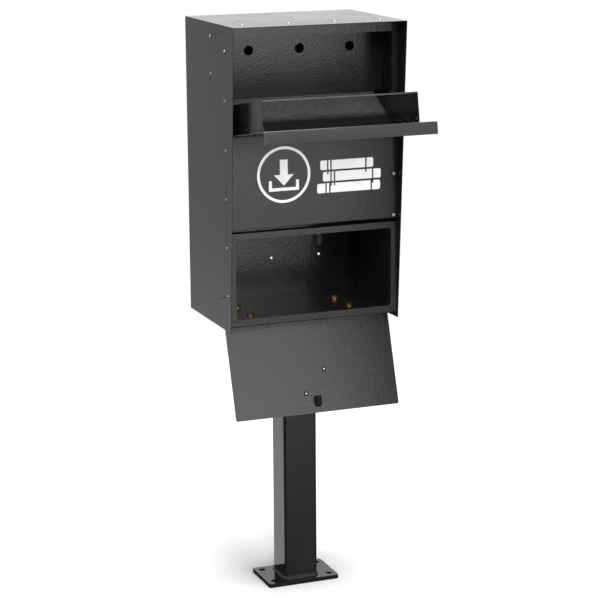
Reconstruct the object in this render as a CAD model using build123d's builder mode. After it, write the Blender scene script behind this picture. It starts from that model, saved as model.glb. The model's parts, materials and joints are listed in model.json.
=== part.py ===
"""Pedestal book drop box: a riveted sheet steel box on a square post.

Frame: millimetres, +Z up, the front faces -Y and X runs to the right. The origin is on the
ground, under the post's centre line. The drop hopper and the access door stand open.
"""
from math import cos, radians, sin, tan
import os

from build123d import *

# ------------------------------------------------------------------ driving sizes
SHEET = 1.5                  # every folded panel
BOX_WIDTH = 400.0
BOX_HEIGHT = 670.0
ROOF_DEPTH = 322.0           # the roof overhangs the front as a hood
FOOT_DEPTH = 278.0           # depth of the box along its lower edge
UNDERSIDE_Z = 635.0          # lower edge of the box above the ground
FACE_SETBACK = 5.0           # front sheets stand behind the side panels' lower front corner

POST_WIDTH = 80.0
POST_WALL = 3.0
POST_CORNER = 6.5
BASE_WIDTH = 172.0
BASE_DEPTH = 117.0
BASE_THICKNESS = 9.5
BASE_CORNER = 4.5
ANCHOR_SPACING_X = 137.0
ANCHOR_SPACING_Y = 79.0
ANCHOR_HOLE_RADIUS = 7.5
WELD_LEG = 5.0
WELD_TOE = 0.4               # width of the bead where it runs out on the post
HEAD_WIDTH = 276.0           # plate on top of the post, under the floor
HEAD_DEPTH = 122.0
HEAD_THICKNESS = 6.0
BOLT_SPACING_X = 240.0
BOLT_SPACING_Y = 86.0
BOLT_RADIUS = 4.0
BOLT_ACROSS_FLATS = 13.0
BOLT_HEAD = 5.5
NUT_HEIGHT = 6.5
WASHER_RADIUS = 8.5
WASHER_THICKNESS = 1.6
BOLT_CLEARANCE = 0.5
BOLT_TAIL = 3.0              # bolt left showing under its nut

FLOOR_RISE = 12.0            # floor's underside above the box's lower edge
SIDE_FLANGE = 22.0           # depth of the folds along the front sheets, from the face
OPENING_LIP = 18.0           # depth of the folds round both openings, from the face
SILL_FLANGE = 40.0           # fold of the door frame that lies on the floor
BACK_FLANGE = 18.0
FRAME_SILL = 14.5
FRAME_RAIL = 14.0
FRAME_STILE = 14.5
SLOT_HEIGHT = 9.5            # open gap between the door frame and the sign panel
SIGN_HEIGHT = 201.5          # plain panel between the slot and the hopper window
WINDOW_HEIGHT = 213.0
WINDOW_RAIL = 24.5
WINDOW_STILE = 11.5
OPENING_CORNER = 6.0

HANGING_HOLE_X = 119.0       # wall holes in the back, with access holes in the baffle
HANGING_HOLE_RADIUS = 2.75
ACCESS_HOLE_RADIUS = 10.5
UPPER_HOLE_DROP = 61.5       # upper hole row under the roof
LOWER_HOLE_RISE = 87.5       # lower hole row above the floor
BAFFLE_FLANGE = 31.0
DOUBLER_HEIGHT = 110.0       # strip behind the right stile of the sign panel
DOUBLER_GAP = 0.5            # between the strip and the folds on both its sides

RIVET_RADIUS = 2.0
RIVET_HEAD_RADIUS = 4.0
RIVET_HEAD_HEIGHT = 1.3
RIVET_TAIL_RADIUS = 2.9
RIVET_TAIL = 3.0
RIVET_ROUNDING = 0.9         # head's rounding, share of its height
TAIL_CHAMFER = 0.3           # tail's chamfer, share of its length
SIDE_RIVET_DEPTH = 12.1      # side rivets behind the face
WINDOW_RIVET_RISE = 64.5     # lowest rivet of the window column over the slot
WINDOW_RIVET_DROP = 53.5     # highest one under the roof
FRAME_RIVET_RISE = 0.322     # rivets of the door frame, shares of its height
FRAME_RIVET_DROP = 0.16
ROOF_RIVET_DEPTH = 8.8
ROOF_RIVET_SPREAD = 0.4      # outermost roof rivets from the middle, share of the width
STILE_RIVET_INSET = 7.7      # front rivets from the side panel
STILE_RIVET_RISES = (5.5, 98.5)
BAFFLE_RIVET_RISE = 55.0
BAFFLE_RIVET_DROP = 28.5
BAFFLE_RIVET_SHARE = 0.63    # along the baffle's fold

DOOR_REVEAL = 1.0            # gap between a closed door and the face behind it
DOOR_SIDE_GAP = 2.5          # gap between a door's edge and the side panel
HINGE_LEAF = 1.2
HINGE_PIN_PLAY = 0.05
KNUCKLE_GAP = 0.5
LEAF_START = 0.8             # gap between a leaf's edge and the other leaf's knuckles
KNUCKLE_COUNT = 11

HOPPER_OPEN = 80.0           # degrees from closed
HOPPER_KNUCKLE = 2.5
HOPPER_PIN = 1.2
HOPPER_OVERLAP = 4.0         # closed door over the window's upper edge
PULL_DEPTH = 27.0
CHEEK_GAP = 8.0              # cheek's outer face inside the window's side
CHEEK_HEIGHT = 68.0
MOUTH_SETBACK = 52.0         # cheeks' front edges behind the pull
BACK_PLATE_FOOT = 26.0       # foot of the sloped back plate, from the hinge axis
BACK_PLATE_LENGTH = 128.0
BACK_PLATE_ANGLE = 39.0
BACK_PLATE_FLANGE = 14.0
STRIP_WIDTH = 17.0
STRIP_LIP = 4.0
FOOT_ANGLE = 14.0
STOP_GAP = 0.5
SKIN_RIVET_INSET = 8.0       # rivets through the hopper door, from the cheek
SKIN_RIVET_RISE = 24.0       # first one, from the back plate's foot
SKIN_RIVET_DROP = 14.0       # last one, from the cheek's front edge
CHEEK_RIVET_LEVEL = 8.5
CHEEK_RIVET_RISE = 36.0
CHEEK_RIVET_DROP = 8.0
HOPPER_RIVETS = 3            # in each row
ANGLE_END_GAP = 1.0
ANGLE_FRONT_GAP = 2.0
HINGE_EDGE_GAP = 0.3         # door skin's edge from the knuckles
HINGE_INSET = 1.5            # hopper hinge's end from the cheek
LEAF_MARGIN = 2.0            # hinge leaf's edge from the fold it lies on
BEND_SHARE = 0.9             # outer bend radius, share of the sheet

ACCESS_OPEN = 161.7          # degrees from closed
ACCESS_AXIS_SETBACK = 23.0   # hinge axis behind the face
ACCESS_KNUCKLE = 3.0
ACCESS_PIN = 1.5
ACCESS_TOP_GAP = 2.0         # closed door under the slot
ACCESS_CORNER = 5.0
HEEL_GAP = 0.3
FIXED_LEAF = 16.0
ACCESS_HINGE_INSET = 6.0     # hinge's end from the door's edge
INSERT_PLACES = ((-24.5, 0.784), (25.0, 0.54))     # X, and share of the door's height
INSERT_RADIUS = 3.2
INSERT_FLANGE_RADIUS = 5.0
INSERT_FLANGE = 0.8
DOOR_SCREW_RADIUS = 2.0
DOOR_SCREW_HEAD_RADIUS = 4.2
DOOR_SCREW_HEAD = 2.2
DOOR_SCREW_END = 0.5         # screw end left showing over the insert
STOP_WIDTH = 25.0
STOP_X = 150.0

LOCK_X = 1.0
LOCK_DROP = 21.0             # lock's axis under the closed door's upper edge
LOCK_RADIUS = 6.0
LOCK_END_GAP = 0.3           # barrel's end before the cam
LOCK_HEAD_RADIUS = 9.0
LOCK_HEAD = 2.5
LOCK_NUT_FLATS = 16.0
LOCK_NUT = 3.5
PLUG_RADIUS = 3.5
PLUG_PLAY = 0.05
PLUG_PROUD = 0.4
KEYWAY = (1.2, 5.0)
KEYWAY_DEPTH = 2.0
CAM_WIDTH = 12.0
CAM_REACH = 17.0
CAM_THICKNESS = 2.0
CAM_DEPTH = 8.5              # front of the cam behind the door's inner face
CAM_SCREW_RADIUS = 3.2
CAM_SCREW_HEIGHT = 1.8
CAM_SLOT = (1.0, 5.0)
CAM_SLOT_DEPTH = 1.0
CAM_BOSS_RADIUS = 2.5
STRIKE_WIDTH = 35.4
STRIKE_HEIGHT = 27.0
STRIKE_SETBACK = 4.5         # strike behind the face
STRIKE_PLAY = 1.0            # notch wider than the cam, each side

SIGN_FILM = 0.25
SIGN_LEVEL = 0.54            # middle of the films, share of the sign panel's height
BADGE_RADIUS = 62.0
BADGE_RING = 6.0
BADGE_X = -71.0
BADGE_RISE = 5.0
ARROW_STEM = (18.0, 34.0)    # arrow that points down into a tray
ARROW_STEM_RISE = 16.0
ARROW_HEAD = (46.0, 24.0)
TRAY_WIDTH = 70.0
TRAY_LINE = 7.0
TRAY_HEIGHT = 23.0
TRAY_DROP = 35.5
BOOKS_X = 82.0
BOOKS_WIDTH = 150.0
BOOKS_DROP = 6.0
BOOK_HEIGHT = 21.0
BOOK_GAP = 4.5
BOOK_CORNER = 4.0
BOOK_TAPER = 0.08            # each book shorter than the one below, share of the width
BOOK_SHIFTS = (0.0, 0.05, -0.03)
BOOK_BANDS = (-0.36, -0.30, 0.36)
BOOK_BAND = 3.5

# ------------------------------------------------------------------ derived places
HALF_WIDTH = BOX_WIDTH / 2
INNER_X = HALF_WIDTH - SHEET
ROOF_Z = UNDERSIDE_Z + BOX_HEIGHT
ROOF_UNDER_Z = ROOF_Z - SHEET
BACK_Y = FOOT_DEPTH / 2
FOOT_FRONT_Y = -FOOT_DEPTH / 2
ROOF_FRONT_Y = BACK_Y - ROOF_DEPTH
FACE_Y = FOOT_FRONT_Y + FACE_SETBACK
BACK_INNER_Y = BACK_Y - SHEET
FLOOR_UNDER_Z = UNDERSIDE_Z + FLOOR_RISE
FLOOR_Z = FLOOR_UNDER_Z + SHEET
WINDOW_TOP_Z = ROOF_UNDER_Z - WINDOW_RAIL
WINDOW_Z = WINDOW_TOP_Z - WINDOW_HEIGHT
SIGN_Z = WINDOW_Z - SIGN_HEIGHT
SLOT_Z = SIGN_Z - SLOT_HEIGHT
FRAME_HEIGHT = SLOT_Z - FLOOR_Z
DOORWAY_Z = FLOOR_Z + FRAME_SILL
DOORWAY_TOP_Z = SLOT_Z - FRAME_RAIL
WINDOW_X = INNER_X - WINDOW_STILE
DOORWAY_X = INNER_X - FRAME_STILE
UPPER_HOLE_Z = ROOF_UNDER_Z - UPPER_HOLE_DROP
LOWER_HOLE_Z = FLOOR_Z + LOWER_HOLE_RISE
HEAD_Z = FLOOR_UNDER_Z - HEAD_THICKNESS
GRIP = 2 * SHEET             # two sheets under every rivet
DOOR_X = INNER_X - DOOR_SIDE_GAP

HOPPER_AXIS_Y = FACE_Y - DOOR_REVEAL - (HOPPER_KNUCKLE - HINGE_LEAF)
HOPPER_AXIS_Z = WINDOW_Z + HOPPER_KNUCKLE
HOPPER_LENGTH = WINDOW_TOP_Z + HOPPER_OVERLAP - HOPPER_AXIS_Z
HOPPER_SKIN = HOPPER_KNUCKLE - HINGE_LEAF       # inner face of the door over the hinge axis
CHEEK_X = WINDOW_X - CHEEK_GAP
CHEEK_INNER_X = CHEEK_X - SHEET
MOUTH = HOPPER_LENGTH - MOUTH_SETBACK

ACCESS_AXIS_Y = FACE_Y + ACCESS_AXIS_SETBACK
ACCESS_AXIS_Z = FLOOR_UNDER_Z - ACCESS_KNUCKLE
ACCESS_SKIN = -ACCESS_AXIS_SETBACK - DOOR_REVEAL    # inner face of the door, before the axis
ACCESS_LENGTH = SLOT_Z - ACCESS_TOP_GAP - ACCESS_AXIS_Z
ACCESS_HEEL = ACCESS_KNUCKLE - HINGE_LEAF - SHEET   # outer face of the heel flange
LOCK_ALONG = ACCESS_LENGTH - LOCK_DROP
CAM_SKIN = ACCESS_SKIN + CAM_DEPTH
FLOOR_FRONT_Y = ACCESS_AXIS_Y + ACCESS_KNUCKLE + LEAF_START
STRIKE_Y = FACE_Y + STRIKE_SETBACK


def hinged_planes(axis_y, axis_z, opening):
    """Planes of a door that is turned open by so many degrees about its hinge axis.

    The first is the door's side view: x runs from the hinge to the free edge, y towards the
    inside. The second lies on the door: x is the row's X, y runs to the free edge, z outwards.
    """
    angle = radians(opening)
    along = (0, -sin(angle), cos(angle))
    outwards = (0, -cos(angle), -sin(angle))
    origin = (0, axis_y, axis_z)
    side = Plane(origin=origin, x_dir=along, z_dir=(-1, 0, 0))
    face = Plane(origin=origin, x_dir=(1, 0, 0), z_dir=outwards)
    return side, face


def spread(low, high, count):
    """Evenly spaced values from low to high."""
    step = (high - low) / (count - 1)
    return [low + step * i for i in range(count)]


def hinge_leaf(plane, half_width, radius, bore, reach, first):
    """Leaf of a piano hinge with every second knuckle, the first one being 0 or 1."""
    start = radius + LEAF_START
    pitch = 2 * half_width / KNUCKLE_COUNT
    level = radius - HINGE_LEAF / 2
    with BuildPart() as leaf:
        with BuildSketch(plane):
            with Locations(((start + reach) / 2, level)):
                Rectangle(reach - start, HINGE_LEAF)
        extrude(amount=half_width, both=True)
        for i in range(first, KNUCKLE_COUNT, 2):
            middle = (i - (KNUCKLE_COUNT - 1) / 2) * pitch
            with BuildSketch(plane.offset(middle)):
                Circle(radius)
                with Locations((start / 2, level)):
                    Rectangle(start, HINGE_LEAF)
                Circle(bore, mode=Mode.SUBTRACT)
            extrude(amount=(pitch - KNUCKLE_GAP) / 2, both=True)
    return leaf.part


def hinge_pin(plane, half_width, radius):
    """Pin through all the knuckles."""
    with BuildPart() as pin:
        with BuildSketch(plane):
            Circle(radius)
        extrude(amount=half_width, both=True)
    return pin.part


def rivet_holes(places):
    """Cut the shank holes of rivets out of the part being built."""
    with Locations(*places):
        Cylinder(RIVET_RADIUS, 3 * GRIP, mode=Mode.SUBTRACT)


def rivets(places):
    """Blind rivets with domed heads, each one set square to its place."""
    with BuildPart() as rivet:
        with BuildSketch(Plane.XY.offset(-GRIP - RIVET_TAIL)):
            Circle(RIVET_TAIL_RADIUS)
        extrude(amount=RIVET_TAIL)
        chamfer(rivet.edges().sort_by(Axis.Z)[0], RIVET_TAIL * TAIL_CHAMFER)
        with BuildSketch(Plane.XY.offset(-GRIP)):
            Circle(RIVET_RADIUS)
        extrude(amount=GRIP)
        with BuildSketch():
            Circle(RIVET_HEAD_RADIUS)
        extrude(amount=RIVET_HEAD_HEIGHT)
        fillet(rivet.edges().sort_by(Axis.Z)[-1], RIVET_HEAD_HEIGHT * RIVET_ROUNDING)
    with BuildPart() as group:
        with Locations(*places):
            add(rivet.part)
    return group.part


def side_places(y, heights):
    """Rivet places on the outside of both side panels."""
    return [
        Plane(origin=(side * HALF_WIDTH, y, z), z_dir=(side, 0, 0))
        for side in (-1, 1)
        for z in heights
    ]


def save(part, name):
    part.label = name
    export_step(part, f"parts/{name}.step")


os.makedirs("parts", exist_ok=True)

hopper_side, hopper_face = hinged_planes(HOPPER_AXIS_Y, HOPPER_AXIS_Z, HOPPER_OPEN)
access_side, access_face = hinged_planes(ACCESS_AXIS_Y, ACCESS_AXIS_Z, ACCESS_OPEN)

# ------------------------------------------------------------------ rivet places
side_column_y = FACE_Y + SIDE_RIVET_DEPTH
window_rivets = side_places(
    side_column_y, spread(SIGN_Z + WINDOW_RIVET_RISE, ROOF_UNDER_Z - WINDOW_RIVET_DROP, 4)
)
frame_rivets = side_places(
    side_column_y,
    (FLOOR_Z + FRAME_RIVET_RISE * FRAME_HEIGHT, SLOT_Z - FRAME_RIVET_DROP * FRAME_HEIGHT),
)
roof_rivet_x = BOX_WIDTH * ROOF_RIVET_SPREAD
roof_rivets = [
    Plane(origin=(x, FACE_Y + ROOF_RIVET_DEPTH, ROOF_Z), z_dir=(0, 0, 1))
    for x in spread(-roof_rivet_x, roof_rivet_x, 4)
]
stile_rivets = [
    Plane(origin=(INNER_X - STILE_RIVET_INSET, FACE_Y, SIGN_Z + rise), z_dir=(0, -1, 0))
    for rise in STILE_RIVET_RISES
]

# ------------------------------------------------------------------ pedestal
with BuildPart() as base_plate:
    with BuildSketch():
        RectangleRounded(BASE_WIDTH, BASE_DEPTH, BASE_CORNER)
        with GridLocations(ANCHOR_SPACING_X, ANCHOR_SPACING_Y, 2, 2):
            Circle(ANCHOR_HOLE_RADIUS, mode=Mode.SUBTRACT)
    extrude(amount=BASE_THICKNESS)
save(base_plate.part, "base_plate")

with BuildPart() as post:
    with BuildSketch(Plane.XY.offset(BASE_THICKNESS)):
        RectangleRounded(POST_WIDTH, POST_WIDTH, POST_CORNER)
        bore = POST_WIDTH - 2 * POST_WALL
        RectangleRounded(bore, bore, POST_CORNER - POST_WALL, mode=Mode.SUBTRACT)
    extrude(amount=HEAD_Z - BASE_THICKNESS)
save(post.part, "post")


def weld_bead(level, up):
    """Fillet weld round the post, on the plate at this level, on its upper or lower side."""
    foot = Plane.XY.offset(level)
    with BuildPart() as bead:
        with BuildSketch(foot):
            size = POST_WIDTH + 2 * WELD_LEG
            RectangleRounded(size, size, POST_CORNER + WELD_LEG)
        with BuildSketch(foot.offset(up * WELD_LEG)):
            size = POST_WIDTH + 2 * WELD_TOE
            RectangleRounded(size, size, POST_CORNER + WELD_TOE)
        loft()
        with BuildSketch(foot):
            RectangleRounded(POST_WIDTH, POST_WIDTH, POST_CORNER)
        extrude(amount=up * WELD_LEG, mode=Mode.SUBTRACT)
    return bead.part


save(weld_bead(BASE_THICKNESS, 1), "base_weld")
save(weld_bead(HEAD_Z, -1), "head_weld")

with BuildPart() as head_plate:
    with BuildSketch(Plane.XY.offset(HEAD_Z)):
        RectangleRounded(HEAD_WIDTH, HEAD_DEPTH, BASE_CORNER)
        with GridLocations(BOLT_SPACING_X, BOLT_SPACING_Y, 2, 2):
            Circle(BOLT_RADIUS + BOLT_CLEARANCE, mode=Mode.SUBTRACT)
    extrude(amount=HEAD_THICKNESS)
save(head_plate.part, "post_head_plate")

washer_top = FLOOR_Z + WASHER_THICKNESS
nut_top = HEAD_Z - WASHER_THICKNESS
bolt_end = nut_top - NUT_HEIGHT - BOLT_TAIL
bolt_grid = GridLocations(BOLT_SPACING_X, BOLT_SPACING_Y, 2, 2)

with BuildPart() as pedestal_bolts:
    with BuildSketch(Plane.XY.offset(washer_top)):
        with bolt_grid:
            RegularPolygon(BOLT_ACROSS_FLATS / 2, 6, major_radius=False)
    extrude(amount=BOLT_HEAD)
    with BuildSketch(Plane.XY.offset(bolt_end)):
        with bolt_grid:
            Circle(BOLT_RADIUS)
    extrude(amount=washer_top - bolt_end)
save(pedestal_bolts.part, "pedestal_bolts")

with BuildPart() as pedestal_washers:
    for level in (FLOOR_Z, nut_top):
        with BuildSketch(Plane.XY.offset(level)):
            with bolt_grid:
                Circle(WASHER_RADIUS)
                Circle(BOLT_RADIUS, mode=Mode.SUBTRACT)
        extrude(amount=WASHER_THICKNESS)
save(pedestal_washers.part, "pedestal_washers")

with BuildPart() as pedestal_nuts:
    with BuildSketch(Plane.XY.offset(nut_top - NUT_HEIGHT)):
        with bolt_grid:
            RegularPolygon(BOLT_ACROSS_FLATS / 2, 6, major_radius=False)
            Circle(BOLT_RADIUS, mode=Mode.SUBTRACT)
    extrude(amount=NUT_HEIGHT)
save(pedestal_nuts.part, "pedestal_nuts")

# ------------------------------------------------------------------ box shell
baffle_stop = hopper_side.from_local_coords(
    (
        BACK_PLATE_FOOT - BACK_PLATE_LENGTH * cos(radians(BACK_PLATE_ANGLE))
        + SHEET * sin(radians(BACK_PLATE_ANGLE)),
        HOPPER_SKIN + BACK_PLATE_LENGTH * sin(radians(BACK_PLATE_ANGLE))
        + SHEET * cos(radians(BACK_PLATE_ANGLE)),
        0,
    )
)
BAFFLE_Y = baffle_stop.Y - SHEET / 2
BAFFLE_Z = baffle_stop.Z + STOP_GAP
baffle_rivets = side_places(
    BAFFLE_Y + BAFFLE_FLANGE * BAFFLE_RIVET_SHARE,
    (BAFFLE_Z + BAFFLE_RIVET_RISE, ROOF_UNDER_Z - BAFFLE_RIVET_DROP),
)

for side, name in ((-1, "left_side_panel"), (1, "right_side_panel")):
    with BuildPart() as side_panel:
        with BuildSketch(Plane.YZ.offset(side * (HALF_WIDTH - SHEET / 2))):
            with BuildLine():
                Polyline(
                    (BACK_Y, UNDERSIDE_Z),
                    (BACK_Y, ROOF_UNDER_Z),
                    (ROOF_FRONT_Y, ROOF_UNDER_Z),
                    (FOOT_FRONT_Y, UNDERSIDE_Z),
                    close=True,
                )
            make_face()
        extrude(amount=SHEET / 2, both=True)
        rivet_holes(window_rivets + frame_rivets + baffle_rivets)
    save(side_panel.part, name)

with BuildPart() as top_panel:
    with BuildSketch(Plane.XY.offset(ROOF_UNDER_Z)):
        with Locations((0, (BACK_Y + ROOF_FRONT_Y) / 2)):
            Rectangle(BOX_WIDTH, ROOF_DEPTH)
    extrude(amount=SHEET)
    rivet_holes(roof_rivets)
save(top_panel.part, "top_panel")

with BuildPart() as back_panel:
    with BuildSketch(Plane.XZ.offset(-BACK_Y)):
        with Locations((0, (UNDERSIDE_Z + ROOF_UNDER_Z) / 2)):
            Rectangle(2 * INNER_X, ROOF_UNDER_Z - UNDERSIDE_Z)
        for level in (UPPER_HOLE_Z, LOWER_HOLE_Z):
            with Locations((-HANGING_HOLE_X, level), (0, level), (HANGING_HOLE_X, level)):
                Circle(HANGING_HOLE_RADIUS, mode=Mode.SUBTRACT)
    extrude(amount=SHEET)
    with BuildSketch(Plane.XY.offset(FLOOR_Z)):
        for side in (-1, 1):
            with Locations((side * (INNER_X - SHEET / 2), BACK_INNER_Y - BACK_FLANGE / 2)):
                Rectangle(SHEET, BACK_FLANGE)
    extrude(amount=ROOF_UNDER_Z - FLOOR_Z)
save(back_panel.part, "back_panel")

floor_depth = BACK_INNER_Y - FLOOR_FRONT_Y
floor_middle_y = (BACK_INNER_Y + FLOOR_FRONT_Y) / 2
with BuildPart() as floor_panel:
    with BuildSketch(Plane.XY.offset(FLOOR_UNDER_Z)):
        with Locations((0, floor_middle_y)):
            Rectangle(2 * INNER_X, floor_depth)
        with bolt_grid:
            Circle(BOLT_RADIUS + BOLT_CLEARANCE, mode=Mode.SUBTRACT)
    extrude(amount=SHEET)
    with BuildSketch(Plane.XY.offset(UNDERSIDE_Z)):
        for side in (-1, 1):
            with Locations((side * (INNER_X - SHEET / 2), floor_middle_y)):
                Rectangle(SHEET, floor_depth)
        with Locations((0, BACK_INNER_Y - SHEET / 2)):
            Rectangle(2 * INNER_X, SHEET)
    extrude(amount=FLOOR_RISE)
save(floor_panel.part, "floor_panel")


def front_sheet(low, high, opening_low, opening_high, opening_x, low_fold, high_fold, places):
    """Front sheet with folded edges and an opening whose edge is folded inwards."""
    middle = (opening_low + opening_high) / 2
    height = opening_high - opening_low
    face = Plane.XZ.offset(-FACE_Y)
    with BuildPart() as sheet:
        with BuildSketch(face):
            with Locations((0, (low + high) / 2)):
                Rectangle(2 * INNER_X, high - low)
        extrude(amount=-SHEET)
        with BuildSketch(face):
            for side in (-1, 1):
                with Locations((side * (INNER_X - SHEET / 2), (low + high) / 2)):
                    Rectangle(SHEET, high - low)
        extrude(amount=-SIDE_FLANGE)
        for edge, fold in ((low + SHEET / 2, low_fold), (high - SHEET / 2, high_fold)):
            with BuildSketch(face):
                with Locations((0, edge)):
                    Rectangle(2 * INNER_X, SHEET)
            extrude(amount=-fold)
        with BuildSketch(face):
            with Locations((0, middle)):
                RectangleRounded(
                    2 * (opening_x + SHEET), height + 2 * SHEET, OPENING_CORNER + SHEET
                )
        extrude(amount=-OPENING_LIP)
        with BuildSketch(face):
            with Locations((0, middle)):
                RectangleRounded(2 * opening_x, height, OPENING_CORNER)
        extrude(amount=-SILL_FLANGE / 2, mode=Mode.SUBTRACT)
        rivet_holes(places)
    return sheet.part


window_frame = front_sheet(
    SIGN_Z, ROOF_UNDER_Z, WINDOW_Z, WINDOW_TOP_Z, WINDOW_X,
    SIDE_FLANGE, SIDE_FLANGE, window_rivets + roof_rivets + stile_rivets,
)
save(window_frame, "front_panel")

door_frame = front_sheet(
    FLOOR_Z, SLOT_Z, DOORWAY_Z, DOORWAY_TOP_Z, DOORWAY_X,
    SILL_FLANGE, SIDE_FLANGE, frame_rivets,
)
save(door_frame, "door_frame")

doubler_outer_x = INNER_X - SHEET - DOUBLER_GAP
doubler_inner_x = DOORWAY_X + SHEET + DOUBLER_GAP
doubler_low_z = SIGN_Z + SHEET
doubler_high_z = SIGN_Z + DOUBLER_HEIGHT
with BuildPart() as stile_doubler:
    with BuildSketch(Plane.XZ.offset(-FACE_Y - SHEET)):
        with Locations(((doubler_outer_x + doubler_inner_x) / 2, (doubler_low_z + doubler_high_z) / 2)):
            Rectangle(doubler_outer_x - doubler_inner_x, doubler_high_z - doubler_low_z)
    extrude(amount=-SHEET)
    rivet_holes(stile_rivets)
save(stile_doubler.part, "stile_doubler")

with BuildPart() as security_baffle:
    with BuildSketch(Plane.XZ.offset(-BAFFLE_Y)):
        with Locations((0, (BAFFLE_Z + ROOF_UNDER_Z) / 2)):
            Rectangle(2 * INNER_X, ROOF_UNDER_Z - BAFFLE_Z)
        with Locations(*[(x, UPPER_HOLE_Z) for x in (-HANGING_HOLE_X, 0, HANGING_HOLE_X)]):
            Circle(ACCESS_HOLE_RADIUS, mode=Mode.SUBTRACT)
    extrude(amount=-SHEET)
    with BuildSketch(Plane.XY.offset(BAFFLE_Z)):
        for side in (-1, 1):
            with Locations((side * (INNER_X - SHEET / 2), BAFFLE_Y + BAFFLE_FLANGE / 2)):
                Rectangle(SHEET, BAFFLE_FLANGE)
    extrude(amount=ROOF_UNDER_Z - BAFFLE_Z)
    rivet_holes(baffle_rivets)
save(security_baffle.part, "security_baffle")

save(rivets(window_rivets + frame_rivets), "side_rivets")
save(rivets(baffle_rivets), "baffle_rivets")
save(rivets(roof_rivets), "roof_rivets")
save(rivets(stile_rivets), "front_rivets")

# ------------------------------------------------------------------ sign films
film_face = Plane.XZ.offset(-FACE_Y)
sign_middle_z = SIGN_Z + SIGN_HEIGHT * SIGN_LEVEL
head_width, head_height = ARROW_HEAD
tray_arm_x = (TRAY_WIDTH - TRAY_LINE) / 2
with BuildPart() as deposit_badge:
    with BuildSketch(film_face):
        with Locations((BADGE_X, sign_middle_z + BADGE_RISE)):
            Circle(BADGE_RADIUS)
            Circle(BADGE_RADIUS - BADGE_RING, mode=Mode.SUBTRACT)
            with Locations((0, ARROW_STEM_RISE)):
                Rectangle(*ARROW_STEM)
            with Locations((0, TRAY_LINE / 2 - TRAY_DROP)):
                Rectangle(TRAY_WIDTH, TRAY_LINE)
            with Locations(*[(x, TRAY_HEIGHT / 2 - TRAY_DROP) for x in (-tray_arm_x, tray_arm_x)]):
                Rectangle(TRAY_LINE, TRAY_HEIGHT)
    with BuildSketch(film_face):
        with Locations((BADGE_X, sign_middle_z + BADGE_RISE)):
            Polygon((-head_width / 2, 0), (head_width / 2, 0), (0, -head_height), align=None)
    extrude(amount=SIGN_FILM)
save(deposit_badge.part, "deposit_badge")

with BuildPart() as book_stack_sign:
    with BuildSketch(film_face):
        for i, shift in enumerate(BOOK_SHIFTS):
            level = sign_middle_z - BOOKS_DROP + (i - 1) * (BOOK_HEIGHT + BOOK_GAP)
            length = BOOKS_WIDTH * (1 - BOOK_TAPER * i)
            with Locations((BOOKS_X + shift * BOOKS_WIDTH, level)):
                RectangleRounded(length, BOOK_HEIGHT, BOOK_CORNER)
                with Locations(*[(length * share, 0) for share in BOOK_BANDS]):
                    Rectangle(BOOK_BAND, 2 * BOOK_HEIGHT, mode=Mode.SUBTRACT)
    extrude(amount=SIGN_FILM)
save(book_stack_sign.part, "book_stack_sign")

# ------------------------------------------------------------------ strike and door stops
notch_half = CAM_WIDTH / 2 + STRIKE_PLAY
strike_low_z = DOORWAY_TOP_Z - STRIKE_HEIGHT
with BuildPart() as strike_bracket:
    with BuildSketch(Plane.XZ.offset(-STRIKE_Y)):
        with Locations((0, (strike_low_z + DOORWAY_TOP_Z) / 2)):
            Rectangle(STRIKE_WIDTH, STRIKE_HEIGHT)
        notch_top_z = DOORWAY_TOP_Z - SHEET
        with Locations((LOCK_X, (strike_low_z + notch_top_z) / 2)):
            Rectangle(2 * notch_half, notch_top_z - strike_low_z, mode=Mode.SUBTRACT)
    extrude(amount=-SHEET)
    with BuildSketch(Plane.XZ.offset(-STRIKE_Y)):
        with Locations((0, DOORWAY_TOP_Z - SHEET / 2)):
            Rectangle(STRIKE_WIDTH, SHEET)
    extrude(amount=-(OPENING_LIP - STRIKE_SETBACK))
save(strike_bracket.part, "strike_bracket")

heel = access_side.from_local_coords((ACCESS_HEEL, ACCESS_SKIN - SHEET, 0))
stop_bottom_z = heel.Z + 2 * STOP_GAP
with BuildPart() as door_stops:
    for side in (-1, 1):
        with BuildSketch(Plane.YZ.offset(side * STOP_X)):
            with Locations((heel.Y - SHEET / 2, (stop_bottom_z + FLOOR_UNDER_Z) / 2)):
                Rectangle(SHEET, FLOOR_UNDER_Z - stop_bottom_z)
            with Locations((heel.Y + FIXED_LEAF / 2 - SHEET, FLOOR_UNDER_Z - SHEET / 2)):
                Rectangle(FIXED_LEAF, SHEET)
        extrude(amount=STOP_WIDTH / 2, both=True)
save(door_stops.part, "door_stops")

# ------------------------------------------------------------------ drop hopper
plate_start = HOPPER_KNUCKLE + HINGE_EDGE_GAP
with BuildPart() as hopper_door:
    with BuildSketch(hopper_side):
        with Locations(((plate_start + HOPPER_LENGTH) / 2, HOPPER_SKIN - SHEET / 2)):
            Rectangle(HOPPER_LENGTH - plate_start, SHEET)
        with Locations((HOPPER_LENGTH - SHEET / 2, HOPPER_SKIN - PULL_DEPTH / 2)):
            Rectangle(SHEET, PULL_DEPTH)
    extrude(amount=DOOR_X, both=True)
    bend = hopper_side.from_local_coords((HOPPER_LENGTH, HOPPER_SKIN, 0))
    fillet(hopper_door.edges().filter_by(Axis.X).sort_by_distance(bend)[0], SHEET * BEND_SHARE)
    skin_rivet_x = CHEEK_INNER_X - SKIN_RIVET_INSET
    skin_places = [
        Plane(
            origin=hopper_side.from_local_coords((along, HOPPER_SKIN - SHEET, side * skin_rivet_x)),
            z_dir=hopper_face.z_dir,
        )
        for side in (-1, 1)
        for along in spread(BACK_PLATE_FOOT + SKIN_RIVET_RISE, MOUTH - SKIN_RIVET_DROP, HOPPER_RIVETS)
    ]
    rivet_holes(skin_places)
save(hopper_door.part, "hopper_door")

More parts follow.
